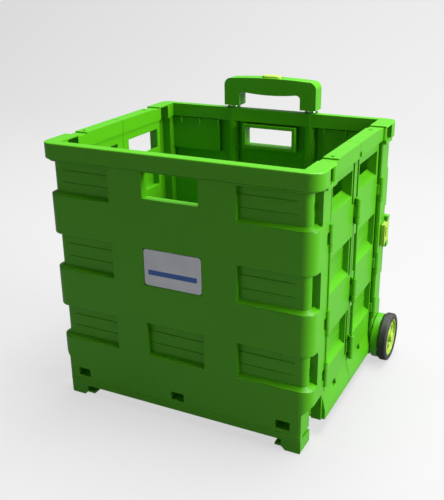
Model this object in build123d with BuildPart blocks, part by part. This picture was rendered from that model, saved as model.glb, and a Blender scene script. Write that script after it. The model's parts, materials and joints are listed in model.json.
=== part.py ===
from build123d import *
from math import atan2, cos, degrees, radians, sin
import os

os.makedirs("parts", exist_ok=True)

# ---- driving dimensions, mm ------------------------------------------------
rim_width = 420.0
rim_depth = 346.0
rim_height = 400.0
rim_band = 24.0
rim_flange = 15.0
rim_corner = 19.0
side_overhang = 5.6
face_overhang = 1.0
tray_front = 56.0
tray_back = 57.0
flange_t = 3.2
apron_half = 192.0
apron_top = 62.0

wheel_dia = 80.0
wheel_width = 14.0
drum_width = 13.0
wheel_behind = 10.0
axle_dia = 8.0

half_t = 15.0
half_gap = 0.4
knuckle_r = 3.9
pin_r = 1.5

tube_outer_dia = 17.0
tube_inner_dia = 13.6
tube_wall = 1.3
tube_spacing = 139.0
grip_width = 162.0
grip_leg = 27.0
grip_depth = 26.0

# ---- named clearances -------------------------------------------------------
clear_slide = 0.3
clear_turn = 0.35
clear_shaft = 0.08
clear_part = 0.6
clear_pass = 1.5

# ---- derived frame ----------------------------------------------------------
half_w = rim_width / 2
depth_all = rim_depth + wheel_behind
front_y = -depth_all / 2
rear_y = front_y + rim_depth
face_y = front_y + face_overhang
back_face_y = rear_y - face_overhang
tray_x = half_w - side_overhang
flange_x = tray_x - flange_t
axis_x = tray_x + 0.6
half_out = flange_x - clear_pass
half_in = half_out - half_t
fold_gap = axis_x - half_out
axis_f = front_y + tray_front
axis_r = rear_y - tray_back
half_len = (axis_r - axis_f) / 2
axis_m = axis_f + half_len
rim_in_f = front_y + rim_flange
rim_in_r = rear_y - rim_flange

bottom_z = 17.0
sill_z = 54.0
plate_t = 3.5
half_bottom = 22.0
rim_low = rim_height - rim_band
rail_low = rim_height - 21.0
body_top = rail_low - clear_pass
ledge_t = 3.0
ledge_top = half_bottom + ledge_t
ledge_room = ledge_top + 2.0

floor_t = 8.5
floor_top = bottom_z - clear_pass
floor_low = floor_top - floor_t
floor_half = half_w - 50.5
ledge_tip = floor_half + clear_pass
foot_in = floor_half + 3.5

block_f = axis_f - fold_gap - half_t - 2.0
block_r = axis_r + fold_gap + half_t + 12.0
ledge_reach = axis_x - ledge_tip + 2.5

wheel_r = wheel_dia / 2
wheel_y = rear_y + wheel_behind - wheel_r
drum_out = tray_x + drum_width
wheel_in = drum_out + clear_part
wheel_out = wheel_in + wheel_width
hub_step = wheel_width * 0.32

rail_w = 21.5
rail_out = axis_x - 0.3
rail_in_x = rail_out - rail_w
rail_step = rail_w + 1.0
rail_cap = 2.0
edge_f = axis_f - rail_w - 1.5
edge_r = axis_r + rail_w + 1.5

# pocket rows as (sill, top) heights
row_low = (rim_height * 0.245, rim_height * 0.375)
row_mid = (rim_height * 0.528, rim_height * 0.662)
row_top = (rim_height * 0.812, rim_height * 0.934)
col_side = half_w * 0.464
col_mid = half_w * 0.219
knuckle_z = (rim_height * 0.255, rim_height * 0.45, rim_height * 0.755)
middle_z = (rim_height * 0.215, rim_height * 0.45, rim_height * 0.755)
pocket_depth = 8.0
pocket_wrap = 26.0
pocket_side = 9.0
sill_rise = 4.0
skin = 3.0
cell_half = half_w - 24.0
hole_half = 43.0
hole_low = rim_height * 0.845
hole_top = rim_low - 1.0
window_half = 42.0
window_low = rim_height * 0.85
window_top = rim_height * 0.925

tube_y = rear_y - 5.0
tube_x = tube_spacing / 2
sleeve_r = tube_outer_dia / 2 + clear_slide + 1.7
tube_low = 62.0
grip_base = rim_height + 5.0
grip_top = grip_base + 46.0
floor_axis_y = axis_r + fold_gap + half_t + 5.5
floor_axis_z = floor_low + 3.0
floor_back = floor_axis_y - 17.0
floor_front = block_f + clear_pass
latch_z = rim_height * 0.555
latch_y = back_face_y - 13.5


def slab(x0, x1, y0, y1, z0, z1, mode=Mode.ADD):
    with Locations(((x0 + x1) / 2, (y0 + y1) / 2, (z0 + z1) / 2)):
        Box(abs(x1 - x0), abs(y1 - y0), abs(z1 - z0), mode=mode)


def rod_z(x, y, z0, z1, r, mode=Mode.ADD):
    with Locations((x, y, (z0 + z1) / 2)):
        Cylinder(r, abs(z1 - z0), mode=mode)


def rod_x(x0, x1, y, z, r, mode=Mode.ADD):
    with Locations(Location(((x0 + x1) / 2, y, z), (0, 90, 0))):
        Cylinder(r, abs(x1 - x0), mode=mode)


def prism_y(y0, y1, points, mode=Mode.ADD):
    with BuildSketch(Plane.XZ.offset(-max(y0, y1)), mode=Mode.PRIVATE) as sk:
        with BuildLine():
            Polyline(*points, close=True)
        make_face()
    extrude(sk.sketch, amount=abs(y1 - y0), mode=mode)


def plan_bar(x, y_out, y_in, r, z0, z1, mode=Mode.ADD):
    # bar across the cart with rounded outer corners
    toward = 1 if y_in > y_out else -1
    with BuildSketch(Plane.XY.offset(z0), mode=Mode.PRIVATE) as sk:
        with Locations((0, (y_out + y_in) / 2)):
            Rectangle(2 * x, abs(y_in - y_out))
        corners = sk.vertices().sort_by(Axis.Y)
        outer = corners[:2] if toward > 0 else corners[-2:]
        fillet(outer, radius=r)
    extrude(sk.sketch, amount=z1 - z0, mode=mode)


def rounded_core(y_face, toward, low, height, inset, taper=0.0):
    # rounded plan of a tray, set in from its outer faces
    with BuildSketch(Plane.XY.offset(low), mode=Mode.PRIVATE) as sk:
        with Locations((0, y_face + toward * 100)):
            RectangleRounded(2 * (tray_x - inset), 2 * (100 - inset), rim_corner - 1 - inset)
    extrude(sk.sketch, amount=height, taper=taper)


def wrap_pocket(x0, x1, y_face, toward, low, top, wrap=pocket_wrap):
    # pocket that follows the rounded corner, with a short sloping sill
    with BuildPart(mode=Mode.PRIVATE) as core:
        rounded_core(y_face, toward, low - 0.01, sill_rise, 0, degrees(atan2(pocket_depth, sill_rise)))
        rounded_core(y_face, toward, low + sill_rise - 0.02, top - low, pocket_depth)
    with BuildPart(mode=Mode.PRIVATE) as tool:
        slab(x0, x1, y_face - toward * 5, y_face + toward * wrap, low, top)
        add(core.part, mode=Mode.SUBTRACT)
    add(tool.part, mode=Mode.SUBTRACT)


def shell_row(y_face, toward, y_block, row, mid_depth):
    # hollow behind one row: shallow behind the flat face, further back behind its pockets
    low = row[0] - skin
    top = row[1] + skin
    deep = y_face + toward * (pocket_depth + skin)
    for side in (-1, 1):
        slab(side * (col_side - skin), side * cell_half, deep, y_block, low, top, Mode.SUBTRACT)
        slab(side * (col_mid + skin), side * (col_side - skin), y_face + toward * skin, y_block, low, top,
             Mode.SUBTRACT)
    x = col_mid + skin
    slab(-x, x, y_face + toward * (mid_depth + skin), y_block, low, top, Mode.SUBTRACT)


def sill_cut_y(y0, y1, x_face, x_deep, low, top, rise):
    out = 5.0 if x_face > x_deep else -5.0
    pts = [(x_face + out, low), (x_face, low), (x_deep, low + rise), (x_deep, top), (x_face + out, top)]
    prism_y(y0, y1, pts, Mode.SUBTRACT)


def flange_knuckles(y_axis, sign, toward):
    # barrels on a tray flange and the windows left for the barrels of the half
    rod_z(sign * axis_x, y_axis, apron_top, body_top - 6, pin_r + clear_turn, Mode.SUBTRACT)
    for z in knuckle_z:
        for z0, z1 in ((z - 19, z - 8 - clear_turn), (z + 8 + clear_turn, z + 19)):
            rod_z(sign * axis_x, y_axis, z0, z1, knuckle_r)
            rod_z(sign * axis_x, y_axis, z0, z1, pin_r, Mode.SUBTRACT)
        slab(sign * (flange_x - 2), sign * (tray_x + 6), y_axis + toward * 6,
             y_axis - toward * (fold_gap + 4.5),
             z - 8 - clear_turn, z + 8 + clear_turn, Mode.SUBTRACT)


def rail_corner(sign, toward):
    # corner of the rim: room for the rail root, a thin cover plate and a lower seat
    ya = axis_f if toward > 0 else axis_r
    edge = edge_f if toward > 0 else edge_r
    x_in = sign * rail_in_x
    slab(x_in, sign * half_w, edge, ya + toward * 3.5, rim_height - rail_cap + clear_slide, rim_height)
    slab(sign * flange_x, sign * half_w, edge - toward * 6, ya + toward * 3.5, rim_low - 3, rail_low - 0.5)
    rod_z(sign * axis_x, ya, rim_low - 1, rim_height - 1.0, pin_r, Mode.SUBTRACT)


# ---- front panel ------------------------------------------------------------
bands = ((bottom_z + plate_t, row_low[0] - skin), (row_low[1] + skin, row_mid[0] - skin),
         (row_mid[1] + skin, row_top[0] - skin), (row_top[1] + skin, body_top + 1))
with BuildPart() as front_panel:
    plan_bar(tray_x, face_y, axis_f + knuckle_r - 0.4, rim_corner - 1, bottom_z, body_top)
    slab(-flange_x, flange_x, block_f, axis_f + 10, 0, body_top + 1, Mode.SUBTRACT)
    plan_bar(half_w, front_y, edge_f, rim_corner, rim_low, rim_height)
    slab(-rail_in_x, rail_in_x, rim_in_f, block_f + 1, rim_low, rim_height + 1, Mode.SUBTRACT)
    for side in (-1, 1):
        rail_corner(side, 1)
        # the apron steps in below the lowest pockets
        x0 = side * apron_half
        x1 = side * (tray_x + 4)
        pts = [(x0, bottom_z - 1), (x0, apron_top), (x1, apron_top + 15), (x1, bottom_z - 1)]
        prism_y(face_y - 3, axis_f + 8, pts, Mode.SUBTRACT)
        flange_knuckles(axis_f, side, 1)
        # foot with a chamfered inner corner and a step for the floor
        x0 = side * foot_in
        x1 = side * apron_half
        pts = [(x0, bottom_z + 3), (x0, 6), (x0 + side * 6, 0), (x1 - side * 1, 0), (x1, 2),
               (x1, bottom_z + 3)]
        prism_y(face_y + 1, face_y + 36, pts)
        slab(side * (floor_half - 7), side * (foot_in + 2), face_y + 4, floor_front + 8, floor_low - 4,
             floor_low - 0.5)
        slab(side * (foot_in + 1), side * (foot_in + 7), face_y + 30, floor_front + 8, 2,
             bottom_z + plate_t)
        # room for the folded ledges of the side halves
        slab(side * 70, side * flange_x, axis_f - ledge_reach, block_f + 1,
             bottom_z + plate_t, ledge_room, Mode.SUBTRACT)
        # corner pockets that follow the corner round to the side
        for low, top in (row_low, row_mid, row_top):
            wrap_pocket(side * col_side, side * (half_w + 2), face_y, 1, low, top)
            for share in (0.34, 0.7):
                z = low + (top - low) * share
                y = face_y + pocket_depth
                slab(side * (col_side + 1), side * (tray_x - 26), y - 1.1, y + 1, z, z + 1.5)
            # deeper strip beside the corner
            slab(side * (tray_x - pocket_depth - 4), side * (tray_x + 2), face_y + 17,
                 face_y + pocket_wrap,
                 low + sill_rise, top, Mode.SUBTRACT)
        for z in (row_low[0] + 18, row_top[0] + 22):
            slab(side * (tray_x - 20), side * (tray_x + 2), face_y + 16, face_y + pocket_wrap,
                 z, z + 12, Mode.SUBTRACT)
        slab(side * 155, side * 176, face_y - 2, block_f + 2, 34, 47, Mode.SUBTRACT)
    wrap_pocket(-col_mid, col_mid, face_y, 1, row_low[0], row_low[1])
    for share in (0.34, 0.7):
        z = row_low[0] + (row_low[1] - row_low[0]) * share
        slab(1 - col_mid, col_mid - 1, face_y + pocket_depth - 1.1, face_y + pocket_depth + 1, z, z + 1.5)
    slab(-10.5, 10.5, face_y - 2, block_f + 2, 34, 47, Mode.SUBTRACT)
    slab(-col_mid, col_mid, face_y - 2, face_y + 1.6, row_mid[0], row_mid[1] + 2, Mode.SUBTRACT)
    # shell, open to the inside
    for low, top in bands:
        slab(-cell_half, cell_half, face_y + skin, block_f + 1, max(low, sill_z), top, Mode.SUBTRACT)
    for row, mid_depth in ((row_low, pocket_depth), (row_mid, 1.6), (row_top, 0)):
        shell_row(face_y, 1, block_f + 1, row, mid_depth)
    # framed hand hole under the rim
    slab(-hole_half - 4, hole_half + 4, face_y + 1, face_y + 13, hole_low - 4, rim_low + 1)
    slab(-hole_half, hole_half, face_y - 4, block_f + 2, hole_low, hole_top, Mode.SUBTRACT)
    for side in (-1, 1):
        for x in (60, 90):
            slab(side * x - 1, side * x + 1, face_y + 1, rim_in_f + 1, row_top[1] - 6, rim_low + 1)
    # bead above the lower edge
    slab(-apron_half + 1, apron_half - 1, face_y - 0.9, face_y + 2, bottom_z + 9, bottom_z + 10.6)
front_panel.part.label = "front_panel"
export_step(front_panel.part, "parts/front_panel.step")

# ---- back panel -------------------------------------------------------------
with BuildPart() as back_panel:
    plan_bar(tray_x, back_face_y, axis_r - knuckle_r + 0.4, rim_corner - 1, bottom_z, body_top)
    slab(-flange_x, flange_x, axis_r - 10, block_r, 0, body_top + 1, Mode.SUBTRACT)
    plan_bar(half_w, rear_y, edge_r, rim_corner, rim_low, rim_height)
    slab(-rail_in_x, rail_in_x, block_r - 10, rim_in_r, rim_low, rim_height + 1, Mode.SUBTRACT)
    for side in (-1, 1):
        rail_corner(side, -1)
        for low, top in (row_low, row_mid, row_top):
            wrap_pocket(side * col_side, side * (half_w + 2), back_face_y, -1, low, top,
                        back_face_y - block_r - 2)
    for low, top in (row_low, row_mid):
        wrap_pocket(-col_mid, col_mid, back_face_y, -1, low, top)
    slab(-cell_half + 14, cell_half - 14, block_r - 1, back_face_y - skin, bottom_z + plate_t, 84,
         Mode.SUBTRACT)
    for low, top in bands:
        slab(-cell_half, cell_half, block_r - 1, back_face_y - skin, max(low, 84), top, Mode.SUBTRACT)
    for row, mid_depth in ((row_low, pocket_depth), (row_mid, pocket_depth), (row_top, 0)):
        shell_row(back_face_y, -1, block_r - 1, row, mid_depth)
    for side in (-1, 1):
        # bottom flange reaching under the folded halves
        slab(side * 50, side * flange_x, floor_axis_y - 11.5, block_r + 1, bottom_z, bottom_z + plate_t)
        slab(side * 70, side * flange_x, block_r - 1, axis_r + ledge_reach,
             bottom_z + plate_t, ledge_room, Mode.SUBTRACT)
        # handle column
        rod_z(side * tube_x, tube_y, tube_low - 14, rim_height, sleeve_r)
        slab(side * tube_x - sleeve_r, side * tube_x + sleeve_r, tube_y, rear_y - 2, tube_low - 14,
             rim_low)
        rod_z(side * tube_x, tube_y, tube_low - 6, rim_height + 1, tube_outer_dia / 2 + clear_slide,
              Mode.SUBTRACT)
        # wheel housing and the boss that carries the stub axle
        rod_x(side * flange_x, side * (tray_x + 3), wheel_y, wheel_r, wheel_r - 15)
        rod_x(side * (axis_x + 1), side * (drum_out - 1), wheel_y, wheel_r, wheel_r - 3)
        rod_x(side * (axis_x + 3.5), side * drum_out, wheel_y, wheel_r, wheel_r - 6, Mode.SUBTRACT)
        rod_x(side * (tray_x - 28), side * drum_out, wheel_y, wheel_r, 6.5)
        slab(side * (tray_x - 28), side * flange_x, wheel_y, back_face_y - 1, wheel_r - 6, wheel_r + 6)
        rod_x(side * (tray_x - 26), side * (drum_out + 1), wheel_y, wheel_r, axle_dia / 2, Mode.SUBTRACT)
        # lugs for the floor hinge
        for x0, x1 in ((side * 23, side * 30), (side * 50, side * 57)):
            slab(x0, x1, floor_axis_y - 5.5, floor_axis_y + 5.5, floor_axis_z, bottom_z + 2)
            rod_x(x0, x1, floor_axis_y, floor_axis_z, 5.5)
        slab(side * 23, side * 30, floor_axis_y - 5.5, block_r + 1, bottom_z, bottom_z + plate_t)
        slab(side * 50, side * 57, floor_axis_y - 5.5, block_r + 1, bottom_z, bottom_z + plate_t)
        slab(side * (floor_half - 3), side * (tray_x - 2), block_r, back_face_y - 2, 10, bottom_z + 1)
        # latch seat
        for z in (latch_z - 22, latch_z + 22):
            slab(side * (tray_x - 12), side * (tray_x + 5.5), latch_y - 8, latch_y + 3.5, z - 4, z + 4)
            rod_z(side * (tray_x + 3), latch_y, z - 4.5, z + 4.5, pin_r, Mode.SUBTRACT)
        for x in (96, 132, 168):
            slab(side * x - 1, side * x + 1, rim_in_r - 1, back_face_y - pocket_depth - 1,
                 row_top[1] - 6, rim_low + 1)
        flange_knuckles(axis_r, side, -1)
    rod_x(-58, 58, floor_axis_y, floor_axis_z, pin_r + 0.5, Mode.SUBTRACT)
    # framed hand window
    slab(-window_half - 5, window_half + 5, block_r + 4, back_face_y - 1, window_low - 5, window_top + 5)
    slab(-window_half, window_half, block_r - 4, rear_y + 2, window_low, window_top, Mode.SUBTRACT)
back_panel.part.label = "back_panel"
export_step(back_panel.part, "parts/back_panel.step")


# ---- side halves ------------------------------------------------------------
def side_half(sign, y_axis, toward, mid_centre):
    # toward is the direction from the tray hinge to the middle hinge
    def at(u):
        return y_axis + toward * u

    end_u = knuckle_r + clear_part + 0.1
    mid_u = half_len - half_gap
    slab(sign * half_in, sign * half_out, at(end_u), at(mid_u), half_bottom, rail_low)
    slab(sign * ledge_tip, sign * (half_in + 1), at(end_u + 4), at(mid_u - 2), half_bottom, ledge_top)
    # flared skirt
    x_root = sign * (half_out - 1)
    x_lip = sign * (axis_x - 0.4)
    prism_y(at(end_u + 4), at(mid_u), [(x_root, 62), (x_lip, 36), (x_lip, half_bottom),
                                       (x_root, half_bottom)])
    # window with a sloping sill, then two pockets
    u0 = 13.0
    u1 = half_len - 16.0
    sill_cut_y(at(u0), at(u1), sign * half_out, sign * (half_in - 4), row_top[0] + 2,
               rim_height * 0.912, 10)
    # slots beside the middle hinge
    slot_x = sign * (half_out - pocket_side - 1)
    for low, top in ((row_low[0] - 24, row_low[1]), (row_mid[0] - 6, row_mid[1]),
                     (row_top[0] - 12, row_top[1])):
        slab(slot_x, sign * (axis_x + 1), at(half_len - 13), at(half_len - 6), low, top, Mode.SUBTRACT)
    for low, top in (row_low, row_mid):
        sill_cut_y(at(u0 - 5), at(u1), sign * half_out, sign * (half_out - pocket_side), low, top, 7)
        for share in (0.4, 0.7):
            z = low + (top - low) * share
            x_deep = half_out - pocket_side
            slab(sign * (x_deep - 0.5), sign * (x_deep + 0.9), at(u0 - 5), at(u1), z, z + 1.4)
    hollows = ((72, row_low[0] - skin), (row_low[1] + skin, row_mid[0] - skin),
               (row_mid[1] + skin, row_top[0] - 4))
    for low, top in hollows:
        for a, b in ((u0, half_len / 2 - 2), (half_len / 2 + 2, u1)):
            slab(sign * (half_in - 1), sign * (half_out - skin), at(a), at(b), low, top, Mode.SUBTRACT)
    slab(sign * (half_in - 1), sign * (axis_x + 1), at(half_len / 2 - 6), at(half_len / 2 + 6), 50, 60,
         Mode.SUBTRACT)
    x_web = sign * (axis_x - 1.5)
    for z in knuckle_z:
        # barrels on the tray hinge
        slab(sign * (half_out - 3), x_web, at(0), at(end_u + 1), z - 8, z + 8)
        rod_z(sign * axis_x, at(0), z - 8, z + 8, knuckle_r)
        rod_z(sign * axis_x, at(0), z - 8.5, z + 8.5, pin_r + clear_shaft, Mode.SUBTRACT)
    for z in middle_z:
        # barrels on the middle hinge
        mine = ((z - 8, z + 8),) if mid_centre else ((z - 19, z - 8.4), (z + 8.4, z + 19))
        bore = pin_r + clear_shaft if mid_centre else pin_r
        for z0, z1 in mine:
            rod_z(sign * axis_x, at(half_len), z0, z1, knuckle_r)
            slab(sign * (half_out - 3), x_web, at(mid_u - 3), at(mid_u), z0, z1)
            rod_z(sign * axis_x, at(half_len), z0 - 0.4, z1 + 0.4, bore, Mode.SUBTRACT)


with BuildPart() as side_rear_left:
    side_half(-1, axis_r, -1, False)
side_rear_left.part.label = "side_rear_left"
export_step(side_rear_left.part, "parts/side_rear_left.step")

with BuildPart() as side_front_left:
    side_half(-1, axis_f, 1, True)
side_front_left.part.label = "side_front_left"
export_step(side_front_left.part, "parts/side_front_left.step")

with BuildPart() as side_rear_right:
    side_half(1, axis_r, -1, False)
side_rear_right.part.label = "side_rear_right"
export_step(side_rear_right.part, "parts/side_rear_right.step")

with BuildPart() as side_front_right:
    side_half(1, axis_f, 1, True)
side_front_right.part.label = "side_front_right"
export_step(side_front_right.part, "parts/side_front_right.step")


# ---- top rails, one length on each half --------------------------------------
def top_rail(name, sign, y_axis, toward):
    def at(u):
        return y_axis + toward * u

    x_in = sign * rail_in_x
    x_out = sign * rail_out
    with BuildPart() as rail:
        slab(x_in, x_out, at(0.5), at(half_len - half_gap), rail_low, rim_height)
        rod_z(sign * axis_x, at(0), rail_low, rim_height, knuckle_r)
        # the root drops under the cover plate of the corner
        slab(sign * (rail_in_x - 1), sign * (half_w + 1), at(-5), at(rail_step), rim_height - rail_cap,
             rim_height + 1, Mode.SUBTRACT)
        slab(sign * (rail_in_x + skin), sign * (rail_out - skin), at(30), at(half_len - 5),
             rail_low - 1, rim_height - skin, Mode.SUBTRACT)
        # notch over the middle hinge and a small stacking pad
        slab(sign * (rail_out - 2), sign * (rail_out + 1), at(half_len - 6), at(half_len), rail_low - 1,
             rail_low + 8, Mode.SUBTRACT)
        rod_z(sign * axis_x, at(0), rail_low - 1, rim_height, pin_r + clear_shaft, Mode.SUBTRACT)
        rod_z(sign * (half_w - 16), at(33), rim_height - 1, rim_height + 1.2, 3.0)
    rail.part.label = name
    export_step(rail.part, "parts/" + name + ".step")


top_rail("rail_rear_left", -1, axis_r, -1)
top_rail("rail_front_left", -1, axis_f, 1)
top_rail("rail_rear_right", 1, axis_r, -1)
top_rail("rail_front_right", 1, axis_f, 1)

# ---- floor ------------------------------------------------------------------
with BuildPart() as floor_panel:
    slab(-floor_half, floor_half, floor_front, floor_back, floor_low, floor_top)
    cell_x = (2 * floor_half - 6 * 3.0) / 5
    cell_y = (floor_back - floor_front - 5 * 3.0) / 4
    for i in range(5):
        for j in range(4):
            x0 = -floor_half + 3.0 + i * (cell_x + 3.0)
            y0 = floor_front + 3.0 + j * (cell_y + 3.0)
            slab(x0, x0 + cell_x, y0, y0 + cell_y, floor_low - 1, floor_top - 2.8, Mode.SUBTRACT)
    for side in (-1, 1):
        x0 = side * (30 + clear_part)
        x1 = side * (50 - clear_part)
        slab(x0, x1, floor_back - 1, floor_axis_y, floor_axis_z - 3, floor_axis_z + 3)
        rod_x(x0, x1, floor_axis_y, floor_axis_z, 4.6)
        rod_x(x0, x1, floor_axis_y, floor_axis_z, pin_r + 0.5 + clear_shaft, Mode.SUBTRACT)
floor_panel.part.label = "floor_panel"
export_step(floor_panel.part, "parts/floor_panel.step")

with BuildPart() as floor_pin:
    rod_x(-58, 58, floor_axis_y, floor_axis_z, pin_r + 0.5)
floor_pin.part.label = "floor_pin"
export_step(floor_pin.part, "parts/floor_pin.step")


# ---- small hardware by side -------------------------------------------------
def hinge_pin(name, x, y, z0, z1):
    with BuildPart() as pin:
        rod_z(x, y, z0, z1, pin_r)
    pin.part.label = name
    export_step(pin.part, "parts/" + name + ".step")


pin_low = knuckle_z[0] - 19
pin_high = knuckle_z[2] + 19
for tag, side in (("left", -1), ("right", 1)):
    hinge_pin("pin_rear_" + tag, side * axis_x, axis_r, pin_low, pin_high)
    hinge_pin("pin_middle_" + tag, side * axis_x, axis_m, middle_z[0] - 19, middle_z[2] + 19)
    hinge_pin("top_pin_rear_" + tag, side * axis_x, axis_r, rim_low - 1, rim_height - 2.5)
    hinge_pin("top_pin_front_" + tag, side * axis_x, axis_f, rim_low - 1, rim_height - 2.5)
    hinge_pin("pin_front_" + tag, side * axis_x, axis_f, pin_low, pin_high)
    hinge_pin("latch_pin_" + tag, side * (tray_x + 3), latch_y, latch_z - 26, latch_z + 26)

for tag, side in (("left", -1), ("right", 1)):
    with BuildPart() as tyre:
        rod_x(side * wheel_in, side * wheel_out, wheel_y, wheel_r, wheel_r)
        fillet(tyre.edges().filter_by(GeomType.CIRCLE), radius=3.5)
        rod_x(side * (wheel_in - 1), side * (wheel_out + 1), wheel_y, wheel_r, wheel_r - 9, Mode.SUBTRACT)
    tyre.part.label = "tyre_" + tag
    export_step(tyre.part, "parts/tyre_" + tag + ".step")

    with BuildPart() as hub:
        rod_x(side * (wheel_in + 1.5), side * (wheel_out - 1.5), wheel_y, wheel_r, wheel_r - 9)
        rod_x(side * (wheel_in + 1), side * (wheel_in + hub_step), wheel_y, wheel_r, wheel_r - 12,
              Mode.SUBTRACT)
        rod_x(side * (wheel_out - hub_step), side * (wheel_out - 1), wheel_y, wheel_r, wheel_r - 12,
              Mode.SUBTRACT)
        for k in range(6):
            y = wheel_y + 19 * cos(radians(60 * k + 30))
            z = wheel_r + 19 * sin(radians(60 * k + 30))
            rod_x(side * wheel_in, side * wheel_out, y, z, 5.0, Mode.SUBTRACT)
        rod_x(side * wheel_in, side * (wheel_out - 2), wheel_y, wheel_r, 9.0)
        rod_x(side * (wheel_in - 1), side * (wheel_out + 1), wheel_y, wheel_r,
              axle_dia / 2 + clear_shaft, Mode.SUBTRACT)
    hub.part.label = "hub_" + tag
    export_step(hub.part, "parts/hub_" + tag + ".step")

    with BuildPart() as axle:
        rod_x(side * (tray_x - 26), side * (wheel_out - 1), wheel_y, wheel_r, axle_dia / 2)
    axle.part.label = "axle_" + tag
    export_step(axle.part, "parts/axle_" + tag + ".step")

    with BuildPart() as cap:
        rod_x(side * (wheel_out - 1.6), side * (wheel_out + 1.6), wheel_y, wheel_r, 8.0)
        rod_x(side * (wheel_out - 2), side * (wheel_out - 1), wheel_y, wheel_r, axle_dia / 2,
              Mode.SUBTRACT)
        fillet(cap.edges().group_by(Axis.X)[-1 if side > 0 else 0], radius=1.2)
    cap.part.label = "axle_cap_" + tag
    export_step(cap.part, "parts/axle_cap_" + tag + ".step")

    with BuildPart() as latch:
        x0 = side * (tray_x + 1)
        x1 = side * (tray_x + 5)
        z0 = latch_z - 17.5
        z1 = latch_z + 17.5
        slab(x0, x1, latch_y - 28, latch_y, z0, z1)
        rod_z(side * (tray_x + 3), latch_y, z0, z1, 3.0)
        slab(side * tray_x, side * (tray_x + 8), latch_y - 20, latch_y - 8, z0 + 9, z1 - 9, Mode.SUBTRACT)
        slab(x0, side * (tray_x + 7.5), latch_y - 28, latch_y - 24, z0, z1)
        rod_z(side * (tray_x + 3), latch_y, z0 - 1, z1 + 1, pin_r + clear_shaft, Mode.SUBTRACT)
    latch.part.label = "latch_" + tag
    export_step(latch.part, "parts/latch_" + tag + ".step")

    with BuildPart() as collar:
        rod_z(side * tube_x, tube_y, rim_height, rim_height + 1.8, tube_outer_dia / 2 + 2.4)
        rod_z(side * tube_x, tube_y, rim_height - 1, rim_height + 3, tube_outer_dia / 2 + clear_slide,
              Mode.SUBTRACT)
    collar.part.label = "collar_" + tag
    export_step(collar.part, "parts/collar_" + tag + ".step")

    with BuildPart() as lower_tube:
        rod_z(side * tube_x, tube_y, tube_low, grip_base - 1, tube_outer_dia / 2)
        rod_z(side * tube_x, tube_y, tube_low - 1, grip_base, tube_inner_dia / 2 + clear_slide,
              Mode.SUBTRACT)
    lower_tube.part.label = "lower_tube_" + tag
    export_step(lower_tube.part, "parts/lower_tube_" + tag + ".step")

    with BuildPart() as upper_tube:
        rod_z(side * tube_x, tube_y, tube_low + 6, grip_base + 24, tube_inner_dia / 2)
        rod_z(side * tube_x, tube_y, tube_low + 5, grip_base + 25, tube_inner_dia / 2 - tube_wall,
              Mode.SUBTRACT)
    upper_tube.part.label = "upper_tube_" + tag
    export_step(upper_tube.part, "parts/upper_tube_" + tag + ".step")

# ---- grip and button --------------------------------------------------------
grip_half = grip_width / 2
leg_in = grip_half - grip_leg
with BuildPart() as grip:
    with BuildSketch(Plane.XZ.offset(-(tube_y + grip_depth / 2)), mode=Mode.PRIVATE) as outline:
        with BuildLine():
            Polyline((leg_in, grip_base), (grip_half, grip_base), (grip_half, grip_top - 12))
            ThreePointArc((grip_half, grip_top - 12), (grip_half - 4, grip_top - 4),
                          (grip_half - 13, grip_top - 1))
            ThreePointArc((grip_half - 13, grip_top - 1), (0, grip_top + 1.5),
                          (-grip_half + 13, grip_top - 1))
            ThreePointArc((-grip_half + 13, grip_top - 1), (-grip_half + 4, grip_top - 4),
                          (-grip_half, grip_top - 12))
            Polyline((-grip_half, grip_top - 12), (-grip_half, grip_base), (-leg_in, grip_base))
            Line((-leg_in, grip_base), (-leg_in, grip_base + 17))
            ThreePointArc((-leg_in, grip_base + 17), (-leg_in + 2, grip_base + 21),
                          (-leg_in + 7, grip_base + 23))
            ThreePointArc((-leg_in + 7, grip_base + 23), (0, grip_base + 20), (leg_in - 7, grip_base + 23))
            ThreePointArc((leg_in - 7, grip_base + 23), (leg_in - 2, grip_base + 21),
                          (leg_in, grip_base + 17))
            Line((leg_in, grip_base + 17), (leg_in, grip_base))
        make_face()
    extrude(outline.sketch, amount=grip_depth)
    for side in (-1, 1):
        rod_z(side * tube_x, tube_y, grip_base - 1, grip_base + 24, tube_inner_dia / 2, Mode.SUBTRACT)
    slab(-17, 17, tube_y - 8, tube_y + 8, grip_top - 8, grip_top + 5, Mode.SUBTRACT)
grip.part.label = "grip"
export_step(grip.part, "parts/grip.step")

with BuildPart() as button:
    with BuildSketch(Plane.XY.offset(grip_top - 4), mode=Mode.PRIVATE) as oval:
        with Locations((0, tube_y)):
            SlotOverall(33.2, 15.2)
    extrude(oval.sketch, amount=9)
    fillet(button.edges().group_by(Axis.Z)[-1], radius=2.5)
button.part.label = "grip_button"
export_step(button.part, "parts/grip_button.step")

# ---- label plate ------------------------------------------------------------
with BuildPart() as label_plate:
    with BuildSketch(Plane.XZ.offset(-(face_y + 1.6)), mode=Mode.PRIVATE) as card:
        with Locations((0, (row_mid[0] + row_mid[1]) / 2 + 1)):
            RectangleRounded(2 * col_mid - 2, row_mid[1] - row_mid[0], 5)
    extrude(card.sketch, amount=1.8)
label_plate.part.label = "label_plate"
export_step(label_plate.part, "parts/label_plate.step")
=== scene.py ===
import json
import math

import bmesh
import bpy
from mathutils import Matrix, Vector


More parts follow.
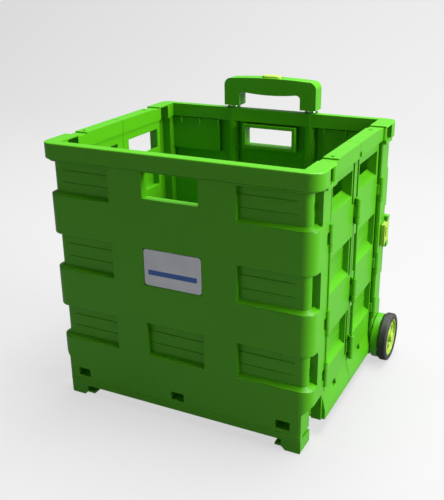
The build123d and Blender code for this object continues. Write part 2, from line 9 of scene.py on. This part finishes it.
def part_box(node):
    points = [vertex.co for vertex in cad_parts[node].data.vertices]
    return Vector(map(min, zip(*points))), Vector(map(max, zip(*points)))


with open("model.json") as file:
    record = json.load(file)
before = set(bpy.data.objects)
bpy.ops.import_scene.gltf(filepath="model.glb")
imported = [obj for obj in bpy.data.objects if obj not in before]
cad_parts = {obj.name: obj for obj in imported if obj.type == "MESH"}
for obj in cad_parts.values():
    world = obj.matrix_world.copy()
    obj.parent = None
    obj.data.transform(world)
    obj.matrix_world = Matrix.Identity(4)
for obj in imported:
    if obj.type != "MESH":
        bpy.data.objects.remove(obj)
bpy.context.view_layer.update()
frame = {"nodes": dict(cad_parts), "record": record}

scene = bpy.context.scene
nodes = frame["nodes"]
slot_of = {s["node"]: s["material_slot"] for s in frame["record"]["subparts"]}
MM = 0.001

# ---- colours, as linear light -----------------------------------------------
GREEN = (0.066, 0.340, 0.004)
LIME = (0.30, 0.48, 0.045)
COLLAR_GREEN = (0.03, 0.20, 0.01)
CHROME = (0.78, 0.79, 0.8)
STEEL = (0.5, 0.5, 0.52)
RUBBER = (0.012, 0.012, 0.012, 1)
RUBBER_DUST = (0.045, 0.043, 0.04, 1)
PAPER_DIM = (0.60, 0.63, 0.68, 1)
PAPER_BRIGHT = (0.70, 0.72, 0.76, 1)
INK_BLUE = (0.03, 0.12, 0.42, 1)
STUDIO_GREY = (0.12, 0.12, 0.12, 1)
BLACK = (0, 0, 0, 1)
WHITE = (1, 1, 1, 1)


# ---- shader node helpers ----------------------------------------------------
def new_material(name):
    mat = bpy.data.materials.new(name)
    mat.use_nodes = True
    tree = mat.node_tree
    shader = tree.nodes["Principled BSDF"]
    return mat, tree, shader


def noise(tree, scale, detail, stretch=(1, 1, 1)):
    coords = tree.nodes.new("ShaderNodeTexCoord")
    mapping = tree.nodes.new("ShaderNodeMapping")
    mapping.inputs["Scale"].default_value = stretch
    tree.links.new(coords.outputs["Object"], mapping.inputs["Vector"])
    texture = tree.nodes.new("ShaderNodeTexNoise")
    texture.inputs["Scale"].default_value = scale
    texture.inputs["Detail"].default_value = detail
    tree.links.new(mapping.outputs[0], texture.inputs["Vector"])
    return texture.outputs["Fac"]


def ramp(tree, source, *stops):
    """Colour ramp through the stops, each a position and a colour."""
    node = tree.nodes.new("ShaderNodeValToRGB")
    band = node.color_ramp
    band.elements[0].position, band.elements[0].color = stops[0]
    band.elements[1].position, band.elements[1].color = stops[-1]
    for position, colour in stops[1:-1]:
        band.elements.new(position).color = colour
    tree.links.new(source, node.inputs["Fac"])
    return node.outputs["Color"]


def mapped(tree, source, low, high):
    """The source's 0 to 1 as low to high."""
    node = tree.nodes.new("ShaderNodeMapRange")
    node.inputs["To Min"].default_value = low
    node.inputs["To Max"].default_value = high
    tree.links.new(source, node.inputs["Value"])
    return node.outputs[0]


def mix(tree, factor, a, b):
    """Blend from a to b. The Mix node has a set of sockets for each data type."""
    factor_socket = 0
    colour_a_socket = 6
    colour_b_socket = 7
    colour_result = 2
    node = tree.nodes.new("ShaderNodeMix")
    node.data_type = "RGBA"
    for index, value in ((factor_socket, factor), (colour_a_socket, a), (colour_b_socket, b)):
        if isinstance(value, bpy.types.NodeSocket):
            tree.links.new(value, node.inputs[index])
        else:
            node.inputs[index].default_value = value
    return node.outputs[colour_result]


def bump(tree, shader, height, strength, distance):
    node = tree.nodes.new("ShaderNodeBump")
    node.inputs["Strength"].default_value = strength
    node.inputs["Distance"].default_value = distance
    tree.links.new(height, node.inputs["Height"])
    tree.links.new(node.outputs[0], shader.inputs["Normal"])


def shade(colour, k):
    return tuple(min(1.0, c * k) for c in colour) + (1,)


# ---- materials --------------------------------------------------------------
def moulded(name, colour, rough):
    """Injection-moulded plastic: slight tone drift, sparse paler scuffs, fine orange peel."""
    scuff_strength = 0.10
    rough_drift = 0.012
    peel_depth = 0.12 * MM
    mat, tree, shader = new_material(name)
    drift = noise(tree, 9.0, 2.0)
    tone = ramp(tree, drift, (0.3, shade(colour, 0.985)), (0.7, shade(colour, 1.015)))
    scratches = noise(tree, 70.0, 8.0, stretch=(1, 1, 5))
    scuffs = ramp(tree, scratches, (0.66, BLACK), (0.76, shade(WHITE[:3], scuff_strength)))
    tree.links.new(mix(tree, scuffs, tone, shade(colour, 1.5)), shader.inputs["Base Color"])
    gloss = mapped(tree, noise(tree, 34.0, 4.0), rough - rough_drift, rough + rough_drift)
    tree.links.new(gloss, shader.inputs["Roughness"])
    bump(tree, shader, noise(tree, 900.0, 2.0), 0.08, peel_depth)
    shader.inputs["IOR"].default_value = 1.49
    shader.inputs["Specular IOR Level"].default_value = 0.28
    return mat


def drawn_metal(name, colour, rough, stretch):
    """Drawn or turned metal, with fine lines that run along Z where the stretch is small."""
    line_depth = 0.08 * MM
    mat, tree, shader = new_material(name)
    lines = noise(tree, 60.0, 5.0, stretch)
    tone = ramp(tree, lines, (0.3, shade(colour, 0.86)), (0.7, shade(colour, 1.05)))
    tree.links.new(tone, shader.inputs["Base Color"])
    tree.links.new(mapped(tree, lines, rough, rough + 0.16), shader.inputs["Roughness"])
    shader.inputs["Metallic"].default_value = 1.0
    bump(tree, shader, lines, 0.12, line_depth)
    return mat


def rubber(name):
    """Matt black rubber with some dust in it."""
    grain_depth = 0.2 * MM
    mat, tree, shader = new_material(name)
    dust = noise(tree, 45.0, 6.0)
    tone = ramp(tree, dust, (0.35, RUBBER), (0.75, RUBBER_DUST))
    tree.links.new(tone, shader.inputs["Base Color"])
    tree.links.new(mapped(tree, dust, 0.55, 0.82), shader.inputs["Roughness"])
    bump(tree, shader, noise(tree, 420.0, 3.0), 0.4, grain_depth)
    return mat


def stripe(tree, across, low, high):
    """White from low to high across the plate and black outside, with a thin soft edge."""
    edge = 0.005
    return ramp(tree, across, (low, BLACK), (low + edge, WHITE), (high - edge, WHITE), (high, BLACK))


def label_card(name):
    """Plain pale card with one blue band and nothing written."""
    fibre_depth = 0.1 * MM
    mat, tree, shader = new_material(name)
    paper = ramp(tree, noise(tree, 30.0, 3.0), (0.3, PAPER_DIM), (0.7, PAPER_BRIGHT))
    place = tree.nodes.new("ShaderNodeTexCoord")
    split = tree.nodes.new("ShaderNodeSeparateXYZ")
    tree.links.new(place.outputs["Generated"], split.inputs[0])
    band_height = stripe(tree, split.outputs["Z"], 0.30, 0.445)
    band_length = stripe(tree, split.outputs["X"], 0.07, 0.93)
    band = mix(tree, band_height, BLACK, band_length)
    tree.links.new(mix(tree, band, paper, INK_BLUE), shader.inputs["Base Color"])
    tree.links.new(mapped(tree, noise(tree, 80.0, 3.0), 0.3, 0.45), shader.inputs["Roughness"])
    bump(tree, shader, noise(tree, 700.0, 2.0), 0.2, fibre_depth)
    return mat


slots = {
    "green_plastic": moulded("green_plastic_moulded", GREEN, 0.34),
    "light_green_plastic": moulded("light_green_moulded", LIME, 0.36),
    "collar_plastic": moulded("collar_green", COLLAR_GREEN, 0.4),
    "tyre_black": rubber("tyre_rubber"),
    "tube_chrome": drawn_metal("tube_chrome", CHROME, 0.1, (1, 1, 0.02)),
    "pin_steel": drawn_metal("pin_steel", STEEL, 0.3, (1, 1, 0.05)),
    "label_plate": label_card("label_card"),
}


# ---- moulded edges ----------------------------------------------------------
SAME_POINT = 0.01 * MM
KEY_DIGITS = 5
ROUNDED_ABOVE = math.radians(40)
CRISP_ABOVE = math.radians(50)
TRAYS = ("front_panel", "back_panel")

# rounding of a node's edges, by its slot; pieces of the other slots keep their edges as made
edge_rounding = {
    "green_plastic": 1.1 * MM,
    "light_green_plastic": 0.5 * MM,
    "label_plate": 0.5 * MM,
}

# heights of the lips, as shares of the rim's: three rows of pockets, then its underside and top
rim_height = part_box("front_panel")[1].z
lip_heights = [rim_height * k for k in (0.245, 0.375, 0.528, 0.662, 0.812, 0.934, 0.94, 1.0)]


def edge_key(ends):
    """The same key for an edge whichever of its ends comes first, to 0.01 mm."""
    return tuple(sorted(tuple(round(c, KEY_DIGITS) for c in point) for point in ends))


def soften_lips(name):
    """Rounds the long outer edges of a tray, which are those of its rim and its pockets."""
    radius = 2.2 * MM
    inset = 9.0 * MM
    above_feet = 60 * MM
    level = 0.5 * MM
    height_slack = 0.6 * MM
    sharpest_kept = math.radians(45)
    obj = nodes[name]
    mesh = obj.data
    low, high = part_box(name)
    face = low.y if high.y < 0 else high.y
    to_world = obj.matrix_world
    bm = bmesh.new()
    bm.from_mesh(mesh)
    bmesh.ops.remove_doubles(bm, verts=bm.verts, dist=SAME_POINT)
    chosen = set()
    for edge in bm.edges:
        if len(edge.link_faces) != 2 or edge.calc_face_angle_signed(0.0) < sharpest_kept:
            continue
        a, b = (to_world @ v.co for v in edge.verts)
        if abs(a.z - b.z) > level or a.z <= above_feet:
            continue
        outer = all(abs(p.y - face) < inset or abs(p.x) > high.x - inset for p in (a, b))
        if outer and min(abs(a.z - z) for z in lip_heights) < height_slack:
            chosen.add(edge_key((a, b)))
    bm.free()
    weights = mesh.attributes.get("bevel_weight_edge")
    if weights is None:
        weights = mesh.attributes.new("bevel_weight_edge", "FLOAT", "EDGE")
    for edge in mesh.edges:
        ends = (to_world @ mesh.vertices[i].co for i in edge.vertices)
        weights.data[edge.index].value = 1.0 if edge_key(ends) in chosen else 0.0
    lips = obj.modifiers.new("lips", "BEVEL")
    lips.width = radius
    lips.segments = 3
    lips.limit_method = "WEIGHT"
    lips.use_clamp_overlap = False


def crisp_edges(limit):
    """Node group that shades every edge steeper than the limit as a sharp one."""
    group = bpy.data.node_groups.new("crisp_edges", "GeometryNodeTree")
    group.interface.new_socket("Geometry", in_out="INPUT", socket_type="NodeSocketGeometry")
    group.interface.new_socket("Geometry", in_out="OUTPUT", socket_type="NodeSocketGeometry")
    entry = group.nodes.new("NodeGroupInput")
    leave = group.nodes.new("NodeGroupOutput")
    angle = group.nodes.new("GeometryNodeInputMeshEdgeAngle")
    below = group.nodes.new("FunctionNodeCompare")
    below.operation = "LESS_THAN"
    below.inputs[1].default_value = limit
    smooth = group.nodes.new("GeometryNodeSetShadeSmooth")
    smooth.domain = "EDGE"
    group.links.new(angle.outputs[0], below.inputs[0])
    group.links.new(below.outputs[0], smooth.inputs["Shade Smooth"])
    group.links.new(entry.outputs[0], smooth.inputs["Geometry"])
    group.links.new(smooth.outputs[0], leave.inputs[0])
    return group


crisp = crisp_edges(CRISP_ABOVE)


def drop_stored_normals(obj):
    """Clears the sharp edges and normals that the CAD mesh came with, so the modifiers set them."""
    for polygon in obj.data.polygons:
        polygon.use_smooth = True
    if obj.data.attributes.get("sharp_edge"):
        obj.data.attributes.remove(obj.data.attributes["sharp_edge"])
    if obj.data.has_custom_normals:
        bpy.context.view_layer.objects.active = obj
        with bpy.context.temp_override(active_object=obj, object=obj, selected_objects=[obj]):
            bpy.ops.mesh.customdata_custom_splitnormals_clear()


def dress(name):
    """A CAD node keeps its mesh and gets its finish, with its edges rounded as moulded."""
    obj = nodes[name]
    slot = slot_of[name]
    obj.data.materials.clear()
    obj.data.materials.append(slots[slot])
    weld = obj.modifiers.new("weld", "WELD")
    weld.merge_threshold = SAME_POINT
    if name in TRAYS:
        soften_lips(name)
    if slot in edge_rounding:
        rounded = obj.modifiers.new("edges", "BEVEL")
        rounded.width = edge_rounding[slot]
        rounded.segments = 2
        rounded.limit_method = "ANGLE"
        rounded.angle_limit = ROUNDED_ABOVE
        rounded.loop_slide = False
    drop_stored_normals(obj)
    crease = obj.modifiers.new("crisp", "NODES")
    crease.node_group = crisp
    flat = obj.modifiers.new("normals", "WEIGHTED_NORMAL")
    flat.keep_sharp = True
    flat.weight = 80


for name in sorted(nodes):
    dress(name)


# ---- studio -----------------------------------------------------------------
def backdrop(name):
    """Near-white to the camera, and much dimmer as a light on the cart."""
    glow_on_cart = 0.16
    glow_to_camera = 0.62
    mat, tree, shader = new_material(name)
    shader.inputs["Base Color"].default_value = STUDIO_GREY
    shader.inputs["Roughness"].default_value = 0.9
    shader.inputs["Specular IOR Level"].default_value = 0.0
    shader.inputs["Emission Color"].default_value = WHITE
    seen = tree.nodes.new("ShaderNodeLightPath")
    glow = mapped(tree, seen.outputs["Is Camera Ray"], glow_on_cart, glow_to_camera)
    tree.links.new(glow, shader.inputs["Emission Strength"])
    return mat


def sweep_profile(reach, bend_from, bend_radius, wall_top, bend_steps=8):
    """Side view of the studio floor: level, then bent up behind the cart into a wall."""
    profile = [(-reach, 0.0), (bend_from, 0.0)]
    for step in range(1, bend_steps + 1):
        angle = math.radians(90 * step / bend_steps)
        across = bend_from + bend_radius * math.sin(angle)
        profile.append((across, bend_radius - bend_radius * math.cos(angle)))
    profile.append((bend_from + bend_radius, wall_top))
    return profile


reach = 6.0
floor_mesh = bpy.data.meshes.new("studio_floor")
floor = bpy.data.objects.new("studio_floor", floor_mesh)
scene.collection.objects.link(floor)
bm = bmesh.new()
profile = sweep_profile(reach, bend_from=1.6, bend_radius=0.8, wall_top=4.0)
rows = [[bm.verts.new((x, y, z)) for x in (-reach, reach)] for y, z in profile]
for a, b in zip(rows, rows[1:]):
    bm.faces.new((a[0], a[1], b[1], b[0]))
bm.to_mesh(floor_mesh)
bm.free()
for polygon in floor_mesh.polygons:
    polygon.use_smooth = True
floor_mesh.materials.append(backdrop("studio_floor"))


def area_light(name, place, size, power):
    """Square light that looks at the middle of the basket."""
    middle = Vector((0, 0, 0.2))
    data = bpy.data.lights.new(name, "AREA")
    data.energy = power
    data.size = size
    obj = bpy.data.objects.new(name, data)
    obj.location = place
    obj.rotation_euler = (middle - Vector(place)).to_track_quat("-Z", "Y").to_euler()
    scene.collection.objects.link(obj)


area_light("key", (2.6, 0.2, 1.4), size=1.4, power=122)
area_light("top", (0.3, 0.7, 3.0), size=2.0, power=195)
area_light("fill", (-1.2, -2.6, 1.3), size=2.2, power=6.5)

world = bpy.data.worlds.new("studio")
world.use_nodes = True
sky = world.node_tree.nodes["Background"]
sky.inputs["Color"].default_value = WHITE
sky.inputs["Strength"].default_value = 0.11
scene.world = world

# ---- camera, fitted to the corners of the rim and the feet in the photo ------
azimuth = math.radians(27.1)
elevation = math.radians(21.4)
roll = math.radians(-0.9)
distance = 1.196
shift_right = -0.010
shift_up = 0.009
level_out = math.cos(elevation)
back = Vector((math.sin(azimuth) * level_out, -math.cos(azimuth) * level_out, math.sin(elevation)))
right = Vector((math.cos(azimuth), math.sin(azimuth), 0))
up = back.cross(right)
turned_right = math.cos(roll) * right + math.sin(roll) * up
turned_up = -math.sin(roll) * right + math.cos(roll) * up
target = Vector((0, -0.005, 0.2)) + shift_right * turned_right + shift_up * turned_up
camera_data = bpy.data.cameras.new("camera")
camera_data.sensor_fit = "HORIZONTAL"
camera_data.sensor_width = 36
camera_data.lens = 61.7
camera = bpy.data.objects.new("camera", camera_data)
axes = Matrix((turned_right, turned_up, back)).transposed().to_4x4()
camera.matrix_world = Matrix.Translation(target + distance * back) @ axes
scene.collection.objects.link(camera)
scene.camera = camera
scene.view_settings.view_transform = "Standard"
